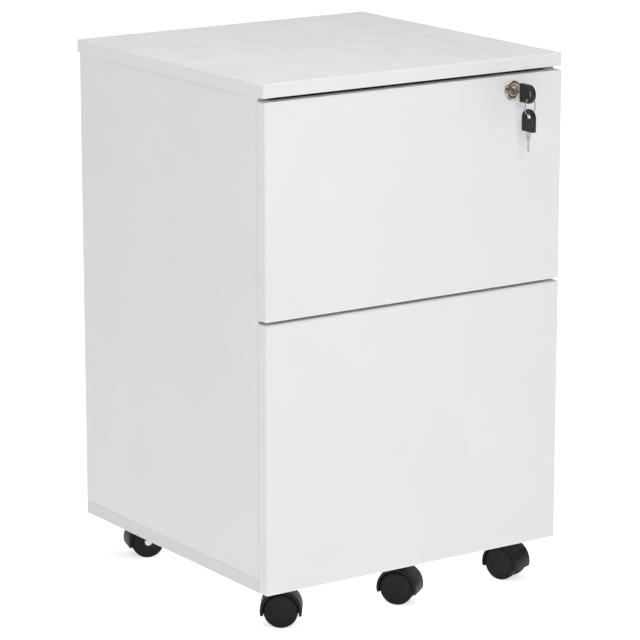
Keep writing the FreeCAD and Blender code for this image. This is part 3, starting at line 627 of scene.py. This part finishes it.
def slide_screw_places(drawer, from_side, inwards):
    """Where the screws of a drawer's two slides sit, their seats counted inwards from the side panels."""
    low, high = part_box(f"{drawer}_slide_drawer_members")
    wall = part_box("right_side_panel")[0].x
    found = []
    for sign in SIDES:
        for row in SLIDE_ROWS:
            origin = Vector((sign * (wall - from_side * MM), low.y + row * MM, (low.z + high.z) / 2))
            found.append((SCREW, facing(origin, (-sign if inwards else sign, 0, 0))))
    return found


def make_fittings():
    """Screws of the slides and lock, and the cam fittings of the carcass and drawers."""
    outer_seat, inner_seat = SLIDE_STEEL, SLIDE_THICK - SLIDE_STEEL
    show("slide_screw_set", slide_screw_places("upper", outer_seat, True)
         + slide_screw_places("lower", outer_seat, True), "slide_screws")
    lock_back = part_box("upper_front")[1].y + FLANGE_THICK * MM
    aside = LOCK_SCREW_ASIDE * MM
    lock_screws = [(SCREW, facing(Vector((LOCK.x + side * aside, lock_back, LOCK.z)), (0, 1, 0)))
                   for side in SIDES]
    show("upper_drawer_screw_set", slide_screw_places("upper", inner_seat, False) + lock_screws,
         "upper_drawer_screws")
    show("lower_drawer_screw_set", slide_screw_places("lower", inner_seat, False), "lower_drawer_screws")

    deep_cam, shallow_cam = cam_disc(12), cam_disc(9)
    edge = CAM_EDGE * MM
    for drawer in ("upper", "lower"):
        low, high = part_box(f"{drawer}_drawer_right_side")
        cams = [(shallow_cam, facing(Vector((sign * low.x, low.y + edge, height)), (-sign, 0, 0)))
                for sign in SIDES
                for height in (low.z + DRAWER_CAM_EDGE * MM, high.z - DRAWER_CAM_EDGE * MM)]
        show(f"{drawer}_drawer_cam_set", cams, f"{drawer}_drawer_cam_locks")
    low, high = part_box("right_side_panel")
    cams = [(deep_cam, facing(Vector((sign * low.x, row, height)), (-sign, 0, 0)))
            for sign in SIDES
            for row in (low.y + CARCASS_CAM_ROW * MM, high.y - CARCASS_CAM_ROW * MM)
            for height in (low.z + edge, high.z - edge)]
    low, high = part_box("back_panel")
    cams += [(deep_cam, facing(Vector((across, low.y, low.z + height * MM)), (0, -1, 0)))
             for across in (low.x + edge, high.x - edge) for height in BACK_CAM_HEIGHTS]
    show("cam_set", cams, "cam_locks")


SCREW = cross_screw()
make_casters()
make_lock()
make_keys()
make_key_ring()
make_fittings()


# ----------------------------------------------------------------------------- floor, light and camera
GLOW_STARTS, GLOW_ENDS, NEAR_GLOW, FAR_GLOW = 0.8, 3.0, 0.70, 0.88


def make_floor():
    """A pale floor that glows a little, more so far from the object."""
    mesh = bpy.data.meshes.new("floor")
    far = 30.0
    mesh.from_pydata([(-far, -far, 0), (far, -far, 0), (far, far, 0), (-far, far, 0)], [], [(0, 1, 2, 3)])
    floor = bpy.data.objects.new("floor", mesh)
    bpy.context.scene.collection.objects.link(floor)
    recipe = Recipe("floor", Emission_Color=(1, 1, 1, 1), Roughness=0.9)
    recipe.colour(recipe.blend(recipe.noise(0.5, 2), (0.90, 0.90, 0.90), (0.92, 0.92, 0.92)))
    from_middle = recipe.vector("LENGTH", recipe.place)
    glow = recipe.span(from_middle, GLOW_STARTS, GLOW_ENDS, NEAR_GLOW, FAR_GLOW)
    recipe.tree.links.new(glow, recipe.shader.inputs["Emission Strength"])
    give(floor, recipe.material)


def make_world():
    """A dim even surround that keeps shiny metal from reflecting black."""
    world = bpy.data.worlds.new("studio")
    bpy.context.scene.world = world
    world.use_nodes = True
    soft = world.node_tree.nodes["Background"]
    soft.inputs["Color"].default_value = (0.97, 0.97, 1.0, 1)
    soft.inputs["Strength"].default_value = 0.13


def towards(azimuth, elevation):
    """The unit vector from the object to someone who stands at an azimuth, counted from -Y towards +X."""
    a, e = math.radians(azimuth), math.radians(elevation)
    return Vector((math.sin(a) * math.cos(e), -math.cos(a) * math.cos(e), math.sin(e)))


def soft_box(name, azimuth, elevation, distance, side, watts):
    """A square white lamp that faces the middle of the object."""
    lamp = bpy.data.lights.new(name, "AREA")
    lamp.shape = "SQUARE"
    lamp.size = side
    lamp.energy = watts
    holder = bpy.data.objects.new(name, lamp)
    bpy.context.scene.collection.objects.link(holder)
    target = (cad_low + cad_high) / 2
    outwards = towards(azimuth, elevation)
    holder.location = target + outwards * distance
    holder.rotation_mode = "QUATERNION"
    holder.rotation_quaternion = (-outwards).to_track_quat("-Z", "Y")


AIM, CAMERA_AZIMUTH, CAMERA_ELEVATION = Vector((-129.35, -176.7, 353.2)) * MM, -34.20, 13.47
CAMERA_DISTANCE, SENSOR_WIDTH, LENS = 3.5955, 36.0, 185.96


def make_camera():
    """The camera stands to the left of the fronts and a little above, far off behind a long lens."""
    camera = bpy.data.objects.new("camera", bpy.data.cameras.new("camera"))
    bpy.context.scene.collection.objects.link(camera)
    bpy.context.scene.camera = camera
    outwards = towards(CAMERA_AZIMUTH, CAMERA_ELEVATION)
    camera.location = AIM + outwards * CAMERA_DISTANCE
    camera.rotation_mode = "QUATERNION"
    camera.rotation_quaternion = (-outwards).to_track_quat("-Z", "Y")
    camera.data.sensor_width = SENSOR_WIDTH
    camera.data.lens = LENS
    camera.data.clip_start, camera.data.clip_end = 0.1, 100.0


bpy.context.scene.view_settings.view_transform = "Standard"
make_floor()
make_world()
soft_box("ceiling", 0, 88, 3.5, 3.0, 86)
soft_box("key_light", -18, 30, 2.0, 0.45, 7.7)
soft_box("upper_left", -60, 72, 1.4, 0.8, 3.2)
make_camera()
